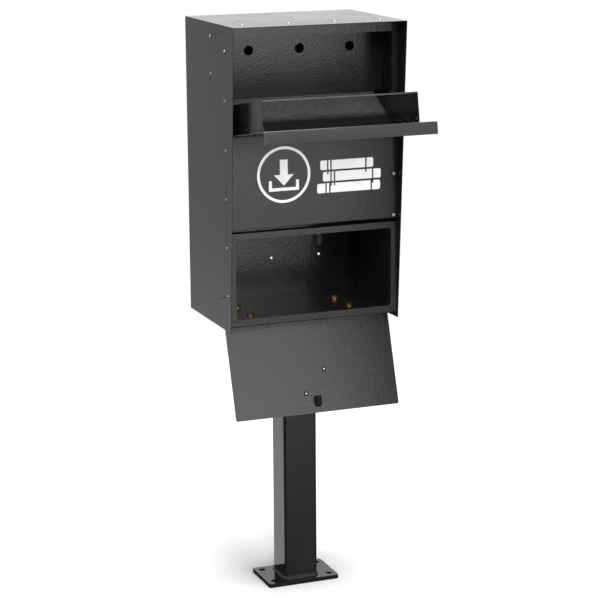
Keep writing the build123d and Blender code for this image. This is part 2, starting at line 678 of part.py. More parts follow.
slope = radians(BACK_PLATE_ANGLE)
cheek_back = BACK_PLATE_FOOT - (CHEEK_HEIGHT - HOPPER_SKIN) / tan(slope)
cheek_places = [
    Plane(
        origin=hopper_side.from_local_coords(
            (along, HOPPER_SKIN + CHEEK_RIVET_LEVEL, -side * CHEEK_X)
        ),
        z_dir=(side, 0, 0),
    )
    for side in (-1, 1)
    for along in spread(BACK_PLATE_FOOT + CHEEK_RIVET_RISE, MOUTH - CHEEK_RIVET_DROP, HOPPER_RIVETS)
]
for side, name in ((-1, "hopper_left_cheek"), (1, "hopper_right_cheek")):
    with BuildPart() as cheek:
        with BuildSketch(hopper_side.offset(-side * (CHEEK_X - SHEET / 2))):
            with BuildLine():
                Polyline(
                    (MOUTH, HOPPER_SKIN),
                    (MOUTH, CHEEK_HEIGHT),
                    (cheek_back, CHEEK_HEIGHT),
                    (BACK_PLATE_FOOT, HOPPER_SKIN),
                    close=True,
                )
            make_face()
        extrude(amount=SHEET / 2, both=True)
        rivet_holes(cheek_places)
    save(cheek.part, name)

angle_start = BACK_PLATE_FOOT + BACK_PLATE_FLANGE + ANGLE_END_GAP
angle_length = MOUTH - ANGLE_FRONT_GAP - angle_start
angle_middle = angle_start + angle_length / 2
with BuildPart() as hopper_foot_angles:
    for side in (-1, 1):
        with BuildSketch(hopper_face.offset(-HOPPER_SKIN)):
            with Locations((side * (CHEEK_INNER_X - FOOT_ANGLE / 2), angle_middle)):
                Rectangle(FOOT_ANGLE, angle_length)
        extrude(amount=-SHEET)
        with BuildSketch(hopper_face.offset(-HOPPER_SKIN)):
            with Locations((side * (CHEEK_INNER_X - SHEET / 2), angle_middle)):
                Rectangle(SHEET, angle_length)
        extrude(amount=-FOOT_ANGLE)
    rivet_holes(skin_places + cheek_places)
save(hopper_foot_angles.part, "hopper_foot_angles")

with BuildPart() as hopper_back_plate:
    with BuildSketch(hopper_side):
        with Locations((BACK_PLATE_FOOT + BACK_PLATE_FLANGE / 2, HOPPER_SKIN + SHEET / 2)):
            Rectangle(BACK_PLATE_FLANGE, SHEET)
        with BuildLine():
            foot_point = Vector(BACK_PLATE_FOOT, HOPPER_SKIN)
            rise = Vector(-cos(slope), sin(slope)) * BACK_PLATE_LENGTH
            skin = Vector(sin(slope), cos(slope)) * SHEET
            Polyline(foot_point, foot_point + rise, foot_point + rise + skin, foot_point + skin, close=True)
        make_face()
    extrude(amount=CHEEK_INNER_X, both=True)
save(hopper_back_plate.part, "hopper_back_plate")

with BuildPart() as hopper_cross_strip:
    with BuildSketch(hopper_side):
        with Locations((MOUTH - STRIP_WIDTH / 2, CHEEK_HEIGHT - SHEET / 2)):
            Rectangle(STRIP_WIDTH, SHEET)
        with Locations((MOUTH - SHEET / 2, CHEEK_HEIGHT - STRIP_LIP / 2)):
            Rectangle(SHEET, STRIP_LIP)
    extrude(amount=CHEEK_INNER_X, both=True)
save(hopper_cross_strip.part, "hopper_cross_strip")

save(rivets(skin_places + cheek_places), "hopper_rivets")

hopper_hinge_x = CHEEK_INNER_X - HINGE_INSET
hopper_reach = HOPPER_KNUCKLE + OPENING_LIP - DOOR_REVEAL - LEAF_MARGIN
hopper_fixed_side = Plane(
    origin=(0, HOPPER_AXIS_Y, HOPPER_AXIS_Z), x_dir=(0, 1, 0), z_dir=(-1, 0, 0)
)
save(
    hinge_leaf(
        hopper_side, hopper_hinge_x, HOPPER_KNUCKLE, HOPPER_PIN + HINGE_PIN_PLAY, hopper_reach, 1
    ),
    "hopper_hinge_leaf",
)
save(
    hinge_leaf(hopper_fixed_side, hopper_hinge_x, HOPPER_KNUCKLE, HOPPER_PIN, hopper_reach, 0),
    "hopper_hinge_fixed_leaf",
)
save(hinge_pin(hopper_side, hopper_hinge_x, HOPPER_PIN), "hopper_hinge_pin")

# ------------------------------------------------------------------ access door
door_width = 2 * DOOR_X
heel_end = -(ACCESS_KNUCKLE + HEEL_GAP)
insert_places = [(x, ACCESS_LENGTH * share) for x, share in INSERT_PLACES]
with BuildPart() as access_door:
    with BuildSketch(access_face.offset(-ACCESS_SKIN)) as door_skin:
        with Locations((0, (ACCESS_HEEL + ACCESS_LENGTH) / 2)):
            Rectangle(door_width, ACCESS_LENGTH - ACCESS_HEEL)
        fillet(door_skin.vertices().group_by(Axis.Y)[-1], ACCESS_CORNER)
        with Locations(*insert_places):
            Circle(INSERT_RADIUS, mode=Mode.SUBTRACT)
        with Locations((LOCK_X, LOCK_ALONG)):
            Circle(LOCK_RADIUS, mode=Mode.SUBTRACT)
    extrude(amount=SHEET)
    with BuildSketch(access_side):
        with Locations((ACCESS_HEEL + SHEET / 2, (ACCESS_SKIN - SHEET + heel_end) / 2)):
            Rectangle(SHEET, heel_end - ACCESS_SKIN + SHEET)
    extrude(amount=DOOR_X, both=True)
save(access_door.part, "access_door")

outer_skin = ACCESS_SKIN - SHEET
inner_face = access_face.offset(-ACCESS_SKIN)
outer_face = access_face.offset(-outer_skin)
with BuildPart() as door_inserts:
    with BuildSketch(inner_face):
        with Locations(*insert_places):
            Circle(INSERT_FLANGE_RADIUS)
            Circle(DOOR_SCREW_RADIUS, mode=Mode.SUBTRACT)
    extrude(amount=-INSERT_FLANGE)
    with BuildSketch(inner_face):
        with Locations(*insert_places):
            Circle(INSERT_RADIUS)
            Circle(DOOR_SCREW_RADIUS, mode=Mode.SUBTRACT)
    extrude(amount=SHEET)
save(door_inserts.part, "door_inserts")

with BuildPart() as door_screws:
    with BuildSketch(outer_face):
        with Locations(*insert_places):
            Circle(DOOR_SCREW_HEAD_RADIUS)
    extrude(amount=DOOR_SCREW_HEAD)
    with BuildSketch(outer_face):
        with Locations(*insert_places):
            Circle(DOOR_SCREW_RADIUS)
    extrude(amount=-(SHEET + INSERT_FLANGE + DOOR_SCREW_END))
save(door_screws.part, "door_screws")

access_hinge_x = DOOR_X - ACCESS_HINGE_INSET
access_leaf_side = Plane(
    origin=access_side.origin, x_dir=access_face.z_dir, z_dir=(-1, 0, 0)
)
access_fixed_side = Plane(origin=access_side.origin, x_dir=(0, 1, 0), z_dir=(1, 0, 0))
save(
    hinge_leaf(
        access_leaf_side, access_hinge_x, ACCESS_KNUCKLE, ACCESS_PIN + HINGE_PIN_PLAY,
        -ACCESS_SKIN - LEAF_MARGIN, 1,
    ),
    "access_hinge_leaf",
)
save(
    hinge_leaf(
        access_fixed_side, access_hinge_x, ACCESS_KNUCKLE, ACCESS_PIN, ACCESS_KNUCKLE + FIXED_LEAF, 0
    ),
    "access_hinge_fixed_leaf",
)
save(hinge_pin(access_side, access_hinge_x, ACCESS_PIN), "access_hinge_pin")

# ------------------------------------------------------------------ lock
def lock_plane(depth):
    """Plane across the lock's axis, at this distance behind the hinge axis's own plane."""
    origin = access_side.from_local_coords((LOCK_ALONG, depth, -LOCK_X))
    return Plane(origin=origin, x_dir=(1, 0, 0), z_dir=access_face.z_dir)


with BuildPart() as lock_body:
    with BuildSketch(lock_plane(outer_skin)):
        Circle(LOCK_HEAD_RADIUS)
        Circle(PLUG_RADIUS + PLUG_PLAY, mode=Mode.SUBTRACT)
    extrude(amount=LOCK_HEAD)
    with BuildSketch(lock_plane(outer_skin)):
        Circle(LOCK_RADIUS)
        Circle(PLUG_RADIUS + PLUG_PLAY, mode=Mode.SUBTRACT)
    extrude(amount=-(CAM_SKIN - outer_skin - LOCK_END_GAP))
save(lock_body.part, "lock_body")

with BuildPart() as lock_nut:
    with BuildSketch(lock_plane(ACCESS_SKIN)):
        RegularPolygon(LOCK_NUT_FLATS / 2, 6, major_radius=False)
        Circle(LOCK_RADIUS, mode=Mode.SUBTRACT)
    extrude(amount=-LOCK_NUT)
save(lock_nut.part, "lock_nut")

plug_front = outer_skin - LOCK_HEAD - PLUG_PROUD
with BuildPart() as lock_plug:
    with BuildSketch(lock_plane(plug_front)):
        Circle(PLUG_RADIUS)
    extrude(amount=-(CAM_SKIN - plug_front))
    with BuildSketch(lock_plane(CAM_SKIN)):
        Circle(CAM_BOSS_RADIUS)
    extrude(amount=-CAM_THICKNESS)
    with BuildSketch(lock_plane(plug_front)):
        Rectangle(*KEYWAY)
    extrude(amount=-KEYWAY_DEPTH, mode=Mode.SUBTRACT)
save(lock_plug.part, "lock_plug")

with BuildPart() as lock_cam:
    with BuildSketch(lock_plane(CAM_SKIN)):
        Circle(CAM_WIDTH / 2)
        with Locations((0, -CAM_REACH / 2)):
            Rectangle(CAM_WIDTH, CAM_REACH)
        Circle(CAM_BOSS_RADIUS, mode=Mode.SUBTRACT)
    extrude(amount=-CAM_THICKNESS)
save(lock_cam.part, "lock_cam")

with BuildPart() as cam_screw:
    with BuildSketch(lock_plane(CAM_SKIN + CAM_THICKNESS)):
        Circle(CAM_SCREW_RADIUS)
    extrude(amount=-CAM_SCREW_HEIGHT)
    with BuildSketch(lock_plane(CAM_SKIN + CAM_THICKNESS + CAM_SCREW_HEIGHT)):
        Rectangle(*CAM_SLOT)
        Rectangle(*CAM_SLOT, rotation=90)
    extrude(amount=CAM_SLOT_DEPTH, mode=Mode.SUBTRACT)
save(cam_screw.part, "cam_screw")
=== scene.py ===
"""Pedestal book drop box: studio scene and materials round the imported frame."""
import json
from math import cos, pi, radians, sin

import bmesh
import bpy
from mathutils import Matrix, Vector


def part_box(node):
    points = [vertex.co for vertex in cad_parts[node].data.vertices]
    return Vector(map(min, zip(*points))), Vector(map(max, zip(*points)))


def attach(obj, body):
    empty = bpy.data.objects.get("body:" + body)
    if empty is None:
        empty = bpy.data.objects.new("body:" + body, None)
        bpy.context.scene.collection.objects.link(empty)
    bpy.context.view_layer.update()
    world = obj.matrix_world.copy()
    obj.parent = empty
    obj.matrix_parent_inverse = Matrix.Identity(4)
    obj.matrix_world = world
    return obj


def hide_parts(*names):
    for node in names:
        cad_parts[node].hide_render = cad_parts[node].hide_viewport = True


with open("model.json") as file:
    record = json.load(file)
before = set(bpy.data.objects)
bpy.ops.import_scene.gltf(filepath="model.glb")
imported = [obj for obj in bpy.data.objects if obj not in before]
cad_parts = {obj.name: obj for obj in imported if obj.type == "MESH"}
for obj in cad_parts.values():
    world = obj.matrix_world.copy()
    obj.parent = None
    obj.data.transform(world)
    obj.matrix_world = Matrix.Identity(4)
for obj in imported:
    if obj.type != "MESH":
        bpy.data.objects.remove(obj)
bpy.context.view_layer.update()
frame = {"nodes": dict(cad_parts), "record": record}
nodes = frame["nodes"]
scene = bpy.context.scene

# ------------------------------------------------------------------ camera
CAMERA_PLACE = Vector((-1.63515, -4.22633, 1.70257))
CAMERA_YAW = radians(21.35)
CAMERA_PITCH = radians(12.91)
CAMERA_ROLL = radians(-0.44)
CAMERA_LENS = 122.28


def make_camera():
    """Camera at the viewing angle, turned right of +Y by the yaw and down by the pitch."""
    forward = Vector(
        (
            sin(CAMERA_YAW) * cos(CAMERA_PITCH),
            cos(CAMERA_YAW) * cos(CAMERA_PITCH),
            -sin(CAMERA_PITCH),
        )
    )
    right = Vector((cos(CAMERA_YAW), -sin(CAMERA_YAW), 0))
    up = right.cross(forward)
    rolled_right = cos(CAMERA_ROLL) * right + sin(CAMERA_ROLL) * up
    rolled_up = -sin(CAMERA_ROLL) * right + cos(CAMERA_ROLL) * up
    data = bpy.data.cameras.new("camera")
    data.lens = CAMERA_LENS
    data.sensor_width = 36
    camera = bpy.data.objects.new("camera", data)
    turn = Matrix((rolled_right, rolled_up, -forward)).transposed()
    camera.matrix_world = Matrix.Translation(CAMERA_PLACE) @ turn.to_4x4()
    scene.collection.objects.link(camera)
    scene.camera = camera


make_camera()

# ------------------------------------------------------------------ node helpers


class Shader:
    """A material's node tree, with short calls to add and join its nodes."""

    def __init__(self, name, colour, roughness, metallic=0.0, **constants):
        self.material = bpy.data.materials.new(name)
        self.material.use_nodes = True
        self.tree = self.material.node_tree
        self.surface = self.tree.nodes["Principled BSDF"]
        self.surface.inputs["Base Color"].default_value = (*colour, 1)
        self.surface.inputs["Roughness"].default_value = roughness
        self.surface.inputs["Metallic"].default_value = metallic
        for key, value in constants.items():
            self.surface.inputs[key.replace("_", " ")].default_value = value
        place = self.add("ShaderNodeTexCoord")
        self.place = place.outputs["Object"]

    def add(self, kind, **settings):
        node = self.tree.nodes.new(kind)
        for key, value in settings.items():
            setattr(node, key, value)
        return node

    def feed(self, socket, value):
        """Join a socket to a constant or to another node's output."""
        if isinstance(value, bpy.types.NodeSocket):
            self.tree.links.new(value, socket)
        else:
            socket.default_value = value

    def noise(self, scale, detail=2.0, roughness=0.5, stretch=None):
        node = self.add("ShaderNodeTexNoise")
        node.inputs["Scale"].default_value = scale
        node.inputs["Detail"].default_value = detail
        node.inputs["Roughness"].default_value = roughness
        place = self.place
        if stretch:
            mapping = self.add("ShaderNodeMapping")
            mapping.inputs["Scale"].default_value = stretch
            self.feed(mapping.inputs["Vector"], place)
            place = mapping.outputs["Vector"]
        self.feed(node.inputs["Vector"], place)
        return node.outputs["Fac"]

    def remap(self, value, low, high, to_low=0.0, to_high=1.0):
        node = self.add("ShaderNodeMapRange")
        for key, number in (
            ("From Min", low), ("From Max", high), ("To Min", to_low), ("To Max", to_high)
        ):
            node.inputs[key].default_value = number
        self.feed(node.inputs["Value"], value)
        return node.outputs["Result"]

    def math(self, operation, first, second=0.0):
        node = self.add("ShaderNodeMath", operation=operation)
        self.feed(node.inputs[0], first)
        self.feed(node.inputs[1], second)
        return node.outputs["Value"]

    def mix(self, amount, first, second):
        node = self.add("ShaderNodeMix", data_type="RGBA")
        self.feed(node.inputs["Factor"], amount)
        for key, colour in (("A", first), ("B", second)):
            socket = [s for s in node.inputs if s.name == key and s.type == "RGBA"][0]
            self.feed(socket, (*colour, 1) if isinstance(colour, tuple) else colour)
        return [s for s in node.outputs if s.type == "RGBA"][0]

    def bump(self, height, depth, normal=None):
        """Raise the surface by this height, times a depth in metres."""
        node = self.add("ShaderNodeBump")
        node.inputs["Strength"].default_value = 1.0
        node.inputs["Distance"].default_value = depth
        self.feed(node.inputs["Height"], height)
        if normal:
            self.feed(node.inputs["Normal"], normal)
        return node.outputs["Normal"]

    def edge(self, radius, low=0.02, high=0.25):
        """Near 1 along sharp edges and 0 on flat faces."""
        bevel = self.add("ShaderNodeBevel", samples=6)
        bevel.inputs["Radius"].default_value = radius
        geometry = self.add("ShaderNodeNewGeometry")
        dot = self.add("ShaderNodeVectorMath", operation="DOT_PRODUCT")
        self.feed(dot.inputs[0], bevel.outputs["Normal"])
        self.feed(dot.inputs[1], geometry.outputs["Normal"])
        fall = self.math("SUBTRACT", 1.0, dot.outputs["Value"])
        return self.remap(fall, low, high)

    def use(self, **sockets):
        for key, value in sockets.items():
            self.feed(self.surface.inputs[key.replace("_", " ")], value)
        return self.material


def dress(material, *names):
    """Give CAD nodes this material."""
    for name in names:
        mesh = nodes[name].data
        mesh.materials.clear()
        mesh.materials.append(material)


# ------------------------------------------------------------------ materials
GRIT = 1400                  # noise cells per metre
ORANGE_PEEL = 230
# radius of the lighter edge band: partly edge wear, partly a painted highlight
EDGE_WEAR_AND_HIGHLIGHT = 0.0012
WARM = (1.0, 0.955, 0.915, 1.0)
NEUTRAL = (1.0, 1.0, 1.0, 1.0)
POST_BLACK = (0.007, 0.007, 0.007)
SHELF_BLACK = (0.009, 0.009, 0.009)
# pale grey of the painted reflection band on the shelf
REFLECTION_GREY = (0.22, 0.215, 0.21)
REFLECTION_BAND_LOW = 0.045            # painted reflection band on the shelf starts and is full, under the shelf's top
REFLECTION_BAND_HIGH = 0.030


def powder_coat(name, colour, roughness, peel, tint):
    """Baked black powder coat: orange peel, fine grit, dust haze, and sharp edges painted lighter,
    partly as edge wear and partly as a painted highlight.
    """
    shader = Shader(name, colour, roughness, Specular_Tint=tint)
    grit = shader.noise(GRIT, 2.0)
    orange = shader.noise(ORANGE_PEEL, 2.0, 0.6)
    cloud = shader.noise(5, 3.0)
    smear = shader.noise(14, 4.0, 0.6, (1.0, 1.0, 0.3))
    tone = shader.remap(grit, 0.35, 0.75)
    lighter = tuple(c * 1.5 + 0.006 for c in colour)
    speckled = shader.mix(tone, colour, lighter)
    edge = shader.edge(EDGE_WEAR_AND_HIGHLIGHT)
    # sharp edges are mixed towards pale grey: partly edge wear, partly a painted highlight along the
    # edges
    worn_and_highlit_edges = shader.mix(shader.math("MULTIPLY", edge, 0.35), speckled, (0.16, 0.155, 0.15))
    haze = shader.remap(smear, 0.45, 0.8, 0.0, 0.08)
    gloss = shader.remap(cloud, 0.3, 0.7, roughness - 0.04, roughness + 0.04)
    relief = shader.math("ADD", shader.math("MULTIPLY", orange, 0.8), shader.math("MULTIPLY", grit, 0.2))
    return shader.use(
        Base_Color=worn_and_highlit_edges,
        Roughness=shader.math("ADD", gloss, haze),
        Normal=shader.bump(relief, peel),
    )


def reflection_band_coat(name, colour, roughness, reflection_low, reflection_high):
    """Powder coat on a sloped shelf, painted pale along a band between two heights as a painted
    reflection of the bright studio.
    """
    shader = Shader(name, colour, roughness)
    grit = shader.noise(300, 3.0, 0.75)
    orange = shader.noise(ORANGE_PEEL, 2.0, 0.6)
    wave = shader.noise(9, 3.0, 0.6)
    height = shader.add("ShaderNodeSeparateXYZ")
    shader.feed(height.inputs["Vector"], shader.place)
    rise = shader.remap(height.outputs["Z"], reflection_low, reflection_high)
    reflection_band = shader.math("MULTIPLY", rise, shader.remap(wave, 0.2, 0.8, 0.55, 1.0))
    reflection_flecks = shader.math("MULTIPLY", reflection_band, shader.remap(grit, 0.35, 0.68))
    return shader.use(
        # the pale grey band is a painted reflection of the bright studio in the sloped shelf, broken up
        # by grit
        Base_Color=shader.mix(reflection_flecks, colour, REFLECTION_GREY),
        Roughness=shader.math("ADD", shader.math("MULTIPLY", reflection_band, 0.25), roughness),
        Normal=shader.bump(orange, 0.0004),
    )


def metal(name, colour, roughness, scale=900, depth=0.00002):
    """Plated or drawn metal with a fine grain and uneven gloss."""
    shader = Shader(name, colour, roughness, 1.0)
    grain = shader.noise(scale, 3.0)
    patch = shader.noise(scale / 18, 3.0)
    darker = tuple(c * 0.72 for c in colour)
    return shader.use(
        Base_Color=shader.mix(shader.remap(patch, 0.35, 0.7), colour, darker),
        Roughness=shader.remap(grain, 0.3, 0.7, roughness - 0.06, roughness + 0.1),
        Normal=shader.bump(grain, depth),
    )


def plate_coat(name, colour, roughness):
    """Glossy coat on a thick plate, whose cut edges and bores are coarse and dull."""
    shader = Shader(name, colour, roughness)
    grit = shader.noise(700, 3.0)
    dust = shader.noise(420, 2.0, 0.7)
    geometry = shader.add("ShaderNodeNewGeometry")
    facing = shader.add("ShaderNodeSeparateXYZ")
    shader.feed(facing.inputs["Vector"], geometry.outputs["Normal"])
    flat = shader.remap(shader.math("ABSOLUTE", facing.outputs["Z"]), 0.35, 0.75)
    specks = shader.math("MULTIPLY", shader.remap(dust, 0.66, 0.78), flat)
    return shader.use(
        Base_Color=shader.mix(specks, colour, (0.10, 0.10, 0.10)),
        Roughness=shader.remap(flat, 0.0, 1.0, 0.62, roughness),
        Specular_IOR_Level=shader.remap(flat, 0.0, 1.0, 0.12, 0.5),
        Normal=shader.bump(grit, 0.00003),
    )


def rough_black(name, colour):
    """Dull black oxide with a faint grain."""
    shader = Shader(name, colour, 0.8, Specular_IOR_Level=0.05)
    grain = shader.noise(1200, 2.0)
    lighter = tuple(c * 2 for c in colour)
    return shader.use(Base_Color=shader.mix(shader.remap(grain, 0.4, 0.7), colour, lighter))


def vinyl(name, colour):
    """White sign film with a faint grain and a little dirt."""
    shader = Shader(name, colour, 0.42)
    grain = shader.noise(1600, 2.0)
    dirt = shader.noise(30, 4.0, 0.6)
    dull = tuple(c * 0.88 for c in colour)
    return shader.use(
        Base_Color=shader.mix(shader.remap(dirt, 0.5, 0.8), colour, dull),
        Roughness=shader.remap(dirt, 0.3, 0.7, 0.36, 0.5),
        Normal=shader.bump(grain, 0.00001),
    )


box_coat = powder_coat("powder_coat_box", (0.0105, 0.010, 0.0095), 0.11, 0.00042, WARM)
pull_coat = powder_coat("powder_coat_pull", (0.034, 0.034, 0.0355), 0.16, 0.00030, NEUTRAL)
post_coat = powder_coat("powder_coat_post", POST_BLACK, 0.12, 0.00002, NEUTRAL)
weld_coat = powder_coat("powder_coat_weld", POST_BLACK, 0.10, 0.0030, NEUTRAL)
rivet_metal = metal("painted_rivets", (0.62, 0.61, 0.60), 0.28)
zinc = metal("yellow_zinc", (0.62, 0.50, 0.26), 0.34)
nickel = metal("nickel_plate", (0.66, 0.65, 0.62), 0.22)
black_zinc = metal("black_zinc", (0.011, 0.011, 0.012), 0.34)
film = vinyl("white_film", (0.93, 0.93, 0.92))

SLOT_MATERIALS = {
    "powder_coat": box_coat,
    "post_coat": post_coat,
    "rivet_metal": rivet_metal,
    "yellow_zinc": zinc,
    "lock_chrome": nickel,
    "black_zinc": black_zinc,
    "sign_film": film,
}
for row in frame["record"]["subparts"]:
    dress(SLOT_MATERIALS[row["material_slot"]], row["node"])

# nodes whose look differs from the rest of their slot
shelf_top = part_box("hopper_back_plate")[1][2]
reflection_band_heights = (shelf_top - REFLECTION_BAND_LOW, shelf_top - REFLECTION_BAND_HIGH)
# the shelf gets a painted reflection band just under its top
dress(reflection_band_coat("powder_coat_shelf", SHELF_BLACK, 0.16, *reflection_band_heights), "hopper_back_plate")
dress(pull_coat, "hopper_door")
dress(plate_coat("powder_coat_plates", POST_BLACK, 0.12), "base_plate", "post_head_plate")
dress(metal("strike_zinc", (0.030, 0.030, 0.032), 0.30), "strike_bracket")
dress(rough_black("insert_black", (0.003, 0.003, 0.003)), "door_inserts")


# ------------------------------------------------------------------ rounded edges
MERGE = 0.00002              # mesh points nearer than this are one point


def round_edges(width, *names):
    """Break the sharp edges of CAD nodes, so that they catch the light."""
    for name in names:
        weld = nodes[name].modifiers.new("weld", "WELD")
        weld.merge_threshold = MERGE
        bevel = nodes[name].modifiers.new("edge", "BEVEL")
        bevel.width = width
        bevel.segments = 2
        bevel.limit_method = "ANGLE"
        bevel.angle_limit = radians(EDGE_ANGLE)
        bevel.use_clamp_overlap = True
        bevel.harden_normals = True


EDGE_ANGLE = 35
SHEET_NODES = (
    "left_side_panel", "right_side_panel", "top_panel", "back_panel", "floor_panel",
    "front_panel", "door_frame", "security_baffle", "stile_doubler", "strike_bracket",
    "door_stops", "hopper_door", "hopper_left_cheek", "hopper_right_cheek",
    "hopper_foot_angles", "hopper_back_plate", "hopper_cross_strip", "access_door",
)
round_edges(0.0006, *SHEET_NODES)
round_edges(0.0010, "base_plate", "post_head_plate")
round_edges(0.0003, "lock_body", "lock_nut", "lock_cam", "cam_screw", "door_screws", "door_inserts")


# ------------------------------------------------------------------ fasteners and welds
RIVET_SEAT = 0.0013          # head's height over the sheet
RIVET_PROFILE = (            # (radius, height) from the set tail, through the sheets, to the mandrel
    (0.0010, -0.0060), (0.0024, -0.0058), (0.0029, -0.0052), (0.0029, -0.0035), (0.0025, -0.0030),
    (0.0020, -0.0030), (0.0020, 0.0), (0.0040, 0.0), (0.0039, 0.0004), (0.0035, 0.0009),
    (0.0027, 0.0012), (0.0018, 0.0013), (0.0012, 0.0012), (0.0011, 0.0007), (0.0009, 0.0007),
    (0.0008, 0.0010),
)
HEX_FLATS = 0.013
HEX_CHAMFER_START = 0.94     # flat disc on a hexagon's end, share of the flats
HEX_CHAMFER_SLOPE = 0.58
BOLT_HEAD = 0.0055
BOLT_RADIUS = 0.004
BOLT_ROOT = 0.0035
THREAD_PITCH = 0.00125
THREAD_LENGTH = 0.014
TURN_STEPS = 48
POST_CORNER = 0.0065
BEAD_STEPS = 640
BEAD_RIPPLES = 38
BEAD_SLICES = 7
BEAD_FULLNESS = 0.55         # 0 is a flat fillet, 1 a quarter round
BEAD_LEAN = 0.35             # ripples lean along the run by this share of a ripple
BEAD_SINK = 0.0003           # the bead's root lies inside the post's wall
RIPPLE_SHARE = 0.26
WAVER_SHARE = 0.06


def islands(name):
    """Lowest and highest corner of each separate solid in a CAD node."""
    mesh = bmesh.new()
    mesh.from_mesh(nodes[name].data)
    bmesh.ops.remove_doubles(mesh, verts=mesh.verts, dist=MERGE)
    left = set(mesh.verts)
    found = []
    while left:
        reach = [left.pop()]
        group = []
        while reach:
            vertex = reach.pop()
            group.append(vertex.co.copy())
            for edge in vertex.link_edges:
                other = edge.other_vert(vertex)
                if other in left:
                    left.remove(other)
                    reach.append(other)
        low = Vector([min(point[i] for point in group) for i in range(3)])
        high = Vector([max(point[i] for point in group) for i in range(3)])
        found.append((low, high))
    mesh.free()
    return sorted(found, key=lambda corners: tuple(corners[0]))


def add_rings(verts, faces, rings, closed=False):
    """Skin a row of rings with the same number of points, and cap the ends of an open row."""
    count = len(rings[0])
    start = len(verts)
    for ring in rings:
        verts.extend(ring)
    rows = len(rings)
    for row in range(rows if closed else rows - 1):
        here = start + row * count
        above = start + (row + 1) % rows * count
        for i in range(count):
            j = (i + 1) % count
            faces.append((here + i, here + j, above + j, above + i))
    if not closed:
        faces.append(tuple(range(start + count - 1, start - 1, -1)))
        faces.append(tuple(range(start + (rows - 1) * count, start + rows * count)))


def circle(radius, height, steps=TURN_STEPS):
    angles = [2 * pi * i / steps for i in range(steps)]
    return [Vector((radius * cos(a), radius * sin(a), height)) for a in angles]


def hexagon(height, end=0):
    """Outline of a hexagon, lowered or raised towards its corners by the chamfer of that end."""
    ring = []
    for i in range(TURN_STEPS):
        angle = 2 * pi * i / TURN_STEPS
        off_flat = (angle + pi / 6) % (pi / 3) - pi / 6
        radius = HEX_FLATS / 2 / cos(off_flat)
        drop = (radius - HEX_FLATS / 2 * HEX_CHAMFER_START) * HEX_CHAMFER_SLOPE
        ring.append(Vector((radius * cos(angle), radius * sin(angle), height - end * drop)))
    return ring


def make_piece(name, verts, faces, material, body, replaced, sharp=40):
    """Mesh that rides on a body and stands for a CAD node."""
    mesh = bpy.data.meshes.new(name)
    mesh.from_pydata(verts, [], faces)
    mesh.polygons.foreach_set("use_smooth", [True] * len(mesh.polygons))
    mesh.set_sharp_from_angle(angle=radians(sharp))
    mesh.materials.append(material)
    piece = bpy.data.objects.new(name, mesh)
    scene.collection.objects.link(piece)
    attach(piece, body)
    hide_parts(replaced)


def make_rivets(node, outwards):
    """Blind rivets with a rolled head, a mandrel hole and a set tail."""
    verts = []
    faces = []
    for low, high in islands(node):
        middle = (low + high) / 2
        axis = outwards(middle)
        half = Vector([abs(axis[i]) * (high[i] - low[i]) / 2 for i in range(3)]).length
        seat = middle + axis * (half - RIVET_SEAT)
        turn = axis.to_track_quat("Z", "Y").to_matrix()
        rings = [[seat + turn @ point for point in circle(*pair, steps=24)] for pair in RIVET_PROFILE]
        add_rings(verts, faces, rings)
    make_piece(f"{node}_fine", verts, faces, rivet_metal, "box", node)


def to_side(middle):
    return Vector((1 if middle.x > 0 else -1, 0, 0))


make_rivets("side_rivets", to_side)
make_rivets("baffle_rivets", to_side)
make_rivets("roof_rivets", lambda middle: Vector((0, 0, 1)))
make_rivets("front_rivets", lambda middle: Vector((0, -1, 0)))


def make_bolts():
    """Hexagon bolts with a chamfered head and a threaded end."""
    verts = []
    faces = []
    flat = HEX_FLATS / 2 * HEX_CHAMFER_START
    for low, high in islands("pedestal_bolts"):
        middle = (low + high) / 2
        place = Vector((middle.x, middle.y, 0))
        neck = high.z - BOLT_HEAD
        rings = [circle(BOLT_ROOT * 0.85, low.z)]
        turns = int(THREAD_LENGTH / THREAD_PITCH)
        for i in range(turns):
            level = low.z + (i + 0.4) * THREAD_PITCH
            rings.append(circle(BOLT_RADIUS, level))
            rings.append(circle(BOLT_ROOT, level + THREAD_PITCH / 2))
        rings.append(circle(BOLT_RADIUS, low.z + (turns + 0.4) * THREAD_PITCH))
        rings.append(circle(BOLT_RADIUS, neck))
        rings.append(hexagon(neck))
        rings.append(hexagon(high.z, 1))
        rings.append(circle(flat, high.z))
        rings.append(circle(flat * 0.75, high.z - 0.0002))
        add_rings(verts, faces, [[place + point for point in ring] for ring in rings])
    make_piece("pedestal_bolts_fine", verts, faces, zinc, "box", "pedestal_bolts")


def make_nuts():
    """Hexagon nuts, chamfered on both ends."""
    verts = []
    faces = []
    flat = HEX_FLATS / 2 * HEX_CHAMFER_START
    for low, high in islands("pedestal_nuts"):
        middle = (low + high) / 2
        place = Vector((middle.x, middle.y, 0))
        rings = [
            circle(BOLT_RADIUS, low.z), circle(flat, low.z), hexagon(low.z, -1),
            hexagon(high.z, 1), circle(flat, high.z), circle(BOLT_RADIUS, high.z),
        ]
        rings = [[place + point for point in ring] for ring in reversed(rings)]
        add_rings(verts, faces, rings, closed=True)
    make_piece("pedestal_nuts_fine", verts, faces, zinc, "box", "pedestal_nuts")


make_bolts()
make_nuts()


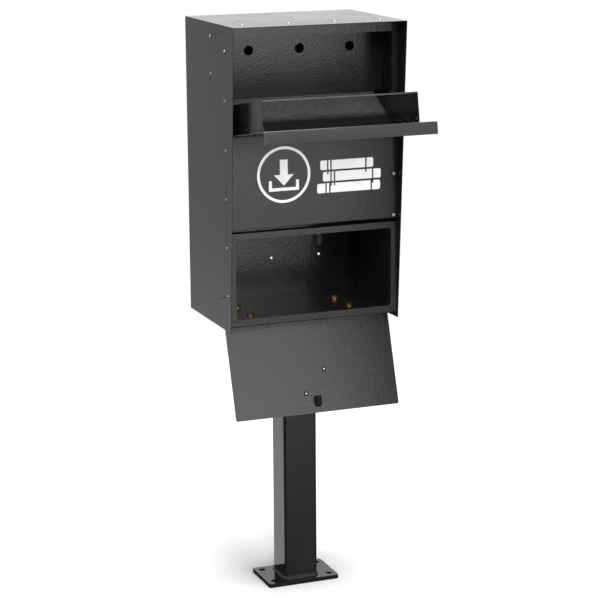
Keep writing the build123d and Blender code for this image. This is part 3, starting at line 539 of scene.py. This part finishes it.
def post_outline(share):
    """Point of the post's rounded outline and the direction out of it, a share of the way round."""
    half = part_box("post")[1][0]
    straight = 2 * (half - POST_CORNER)
    arc = POST_CORNER * pi / 2
    quarter, along = divmod(share * 4, 1.0)
    travel = along * (straight + arc)
    if travel < straight:
        point = Vector((half, travel - straight / 2, 0))
        outwards = Vector((1, 0, 0))
    else:
        angle = (travel - straight) / POST_CORNER
        outwards = Vector((cos(angle), sin(angle), 0))
        point = Vector((straight / 2, straight / 2, 0)) + POST_CORNER * outwards
    turn = Matrix.Rotation(quarter * pi / 2, 3, "Z")
    return turn @ point, turn @ outwards


def bead_swell(share, lean):
    """Size of the bead along its run: close ripples on a slow waver, 1 at the most."""
    ripple = abs(sin(pi * (BEAD_RIPPLES * share + BEAD_LEAN * lean)))
    waver = 0.5 * sin(2 * pi * 7 * share) + 0.5 * sin(2 * pi * 17 * share + 1.0)
    return 1 - RIPPLE_SHARE - WAVER_SHARE + RIPPLE_SHARE * ripple + WAVER_SHARE * waver


def make_weld(node, level, up):
    """Hand-laid fillet weld round the post, standing on the plate at this level."""
    low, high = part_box(node)
    leg = high[2] - low[2]
    rings = []
    for step in range(BEAD_STEPS):
        share = step / BEAD_STEPS
        point, outwards = post_outline(share)
        ring = [point - outwards * BEAD_SINK + Vector((0, 0, level))]
        for i in range(BEAD_SLICES):
            t = i / (BEAD_SLICES - 1)
            size = leg * bead_swell(share, sin(pi * t))
            out = size * (BEAD_FULLNESS * sin(t * pi / 2) + (1 - BEAD_FULLNESS) * t)
            rise = size * (BEAD_FULLNESS * cos(t * pi / 2) + (1 - BEAD_FULLNESS) * (1 - t))
            ring.append(point + outwards * out + Vector((0, 0, level + up * rise)))
        rings.append(ring)
    verts = []
    faces = []
    add_rings(verts, faces, rings, closed=True)
    if up > 0:
        faces = [tuple(reversed(face)) for face in faces]
    make_piece(f"{node}_bead", verts, faces, weld_coat, "box", node, 60)


make_weld("base_weld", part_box("base_plate")[1][2], 1)
make_weld("head_weld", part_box("post_head_plate")[0][2], -1)


# ------------------------------------------------------------------ stage and light
FLOOR_HALF = 2.0
FLOOR_LEVEL = -0.0004        # just under the plate, so that the two faces do not flicker
SIDE_FLAG = ((0.56, 0.3), (1.6, 2.4))           # lowest and highest corner of a card, X and Z
SIDE_FLAG_DEPTH = -1.15
HOPPER_FLAG = ((-0.15, 1.02), (0.48, 1.158))
HOPPER_FLAG_DEPTH = -0.55


def make_floor():
    """White ground that the camera and the shadows see, but no mirror image."""
    mesh = bpy.data.meshes.new("studio_floor")
    half = FLOOR_HALF
    outline = ((-half, -half), (half, -half), (half, half), (-half, half))
    corners = [(x, y, FLOOR_LEVEL) for x, y in outline]
    mesh.from_pydata(corners, [], [(0, 1, 2, 3)])
    floor = bpy.data.objects.new("studio_floor", mesh)
    floor.visible_glossy = False
    scene.collection.objects.link(floor)
    mesh.materials.append(Shader("studio_white", (0.97, 0.97, 0.97), 1.0).material)


def make_flag(name, corners, depth):
    """Black card that shows only in mirror images, and darkens a part of them."""
    (left, low), (right, high) = corners
    mesh = bpy.data.meshes.new(name)
    outline = [(left, depth, low), (right, depth, low), (right, depth, high), (left, depth, high)]
    mesh.from_pydata(outline, [], [(0, 1, 2, 3)])
    flag = bpy.data.objects.new(name, mesh)
    flag.visible_camera = False
    flag.visible_shadow = False
    flag.visible_diffuse = False
    scene.collection.objects.link(flag)
    mesh.materials.append(Shader(name, (0.002, 0.002, 0.002), 1.0).material)


def area_light(name, place, target, width, height, power):
    data = bpy.data.lights.new(name, "AREA")
    data.shape = "RECTANGLE"
    data.size = width
    data.size_y = height
    data.energy = power
    light = bpy.data.objects.new(name, data)
    light.location = place
    aim = Vector(target) - Vector(place)
    light.rotation_euler = aim.to_track_quat("-Z", "Y").to_euler()
    scene.collection.objects.link(light)


class Surround:
    """The studio round the object: a brightness for every direction, plain white to the eye."""

    def __init__(self):
        world = bpy.data.worlds.new("studio")
        scene.world = world
        world.use_nodes = True
        self.tree = world.node_tree
        place = self.tree.nodes.new("ShaderNodeTexCoord")
        unit = self.tree.nodes.new("ShaderNodeVectorMath")
        unit.operation = "NORMALIZE"
        self.tree.links.new(place.outputs["Generated"], unit.inputs[0])
        self.direction = unit.outputs["Vector"]
        self.total = None

    def glow(self, heading, rise, inner, outer, strength):
        """Soft round light, seen at this heading right of +Y and this rise over the horizon."""
        heading, rise = radians(heading), radians(rise)
        aim = (sin(heading) * cos(rise), cos(heading) * cos(rise), sin(rise))
        dot = self.tree.nodes.new("ShaderNodeVectorMath")
        dot.operation = "DOT_PRODUCT"
        self.tree.links.new(self.direction, dot.inputs[0])
        dot.inputs[1].default_value = aim
        fall = self.tree.nodes.new("ShaderNodeMapRange")
        fall.interpolation_type = "SMOOTHSTEP"
        for key, value in (
            ("From Min", cos(radians(outer))), ("From Max", cos(radians(inner))),
            ("To Min", 0.0), ("To Max", strength),
        ):
            fall.inputs[key].default_value = value
        self.tree.links.new(dot.outputs["Value"], fall.inputs["Value"])
        if self.total is None:
            self.total = fall.outputs["Result"]
            return
        both = self.tree.nodes.new("ShaderNodeMath")
        both.operation = "ADD"
        self.tree.links.new(self.total, both.inputs[0])
        self.tree.links.new(fall.outputs["Result"], both.inputs[1])
        self.total = both.outputs["Value"]

    def finish(self, seen, overall):
        """Add the overall level, and show plain white where the camera looks past the object."""
        base = self.tree.nodes.new("ShaderNodeMath")
        base.operation = "ADD"
        self.tree.links.new(self.total, base.inputs[0])
        base.inputs[1].default_value = overall
        path = self.tree.nodes.new("ShaderNodeLightPath")
        mix = self.tree.nodes.new("ShaderNodeMix")
        mix.data_type = "FLOAT"
        self.tree.links.new(path.outputs["Is Camera Ray"], mix.inputs[0])
        self.tree.links.new(base.outputs["Value"], mix.inputs[2])
        mix.inputs[3].default_value = seen
        back = self.tree.nodes["Background"]
        back.inputs["Color"].default_value = (1, 1, 1, 1)
        self.tree.links.new(mix.outputs[0], back.inputs["Strength"])


make_floor()
studio = Surround()
studio.glow(172, 26, 18, 42, 2.3)
studio.glow(168, 0, 6, 23, 1.9)
studio.glow(-21, -22, 5, 11, 0.6)
studio.glow(-21, -8, 12, 24, 0.36)
studio.glow(21, 14, 14, 40, 0.97)
studio.glow(-60, 50, 20, 50, 0.5)
studio.glow(122, 64, 5, 15, 4.0)
studio.finish(seen=1.02, overall=0.035)
make_flag("side_flag", SIDE_FLAG, SIDE_FLAG_DEPTH)
make_flag("hopper_flag", HOPPER_FLAG, HOPPER_FLAG_DEPTH)
area_light("key", (-1.2, -1.6, 3.6), (0, 0, 0.9), 2.4, 2.4, 20)
area_light("spark", (-0.9, -3.0, 2.8), (0, 0, 0.6), 0.35, 0.35, 22)
area_light("floor_wash", (0.0, -0.55, 4.5), (0, -0.2, 0), 2.0, 2.0, 215)
scene.view_settings.view_transform = "Standard"
scene.view_settings.look = "None"
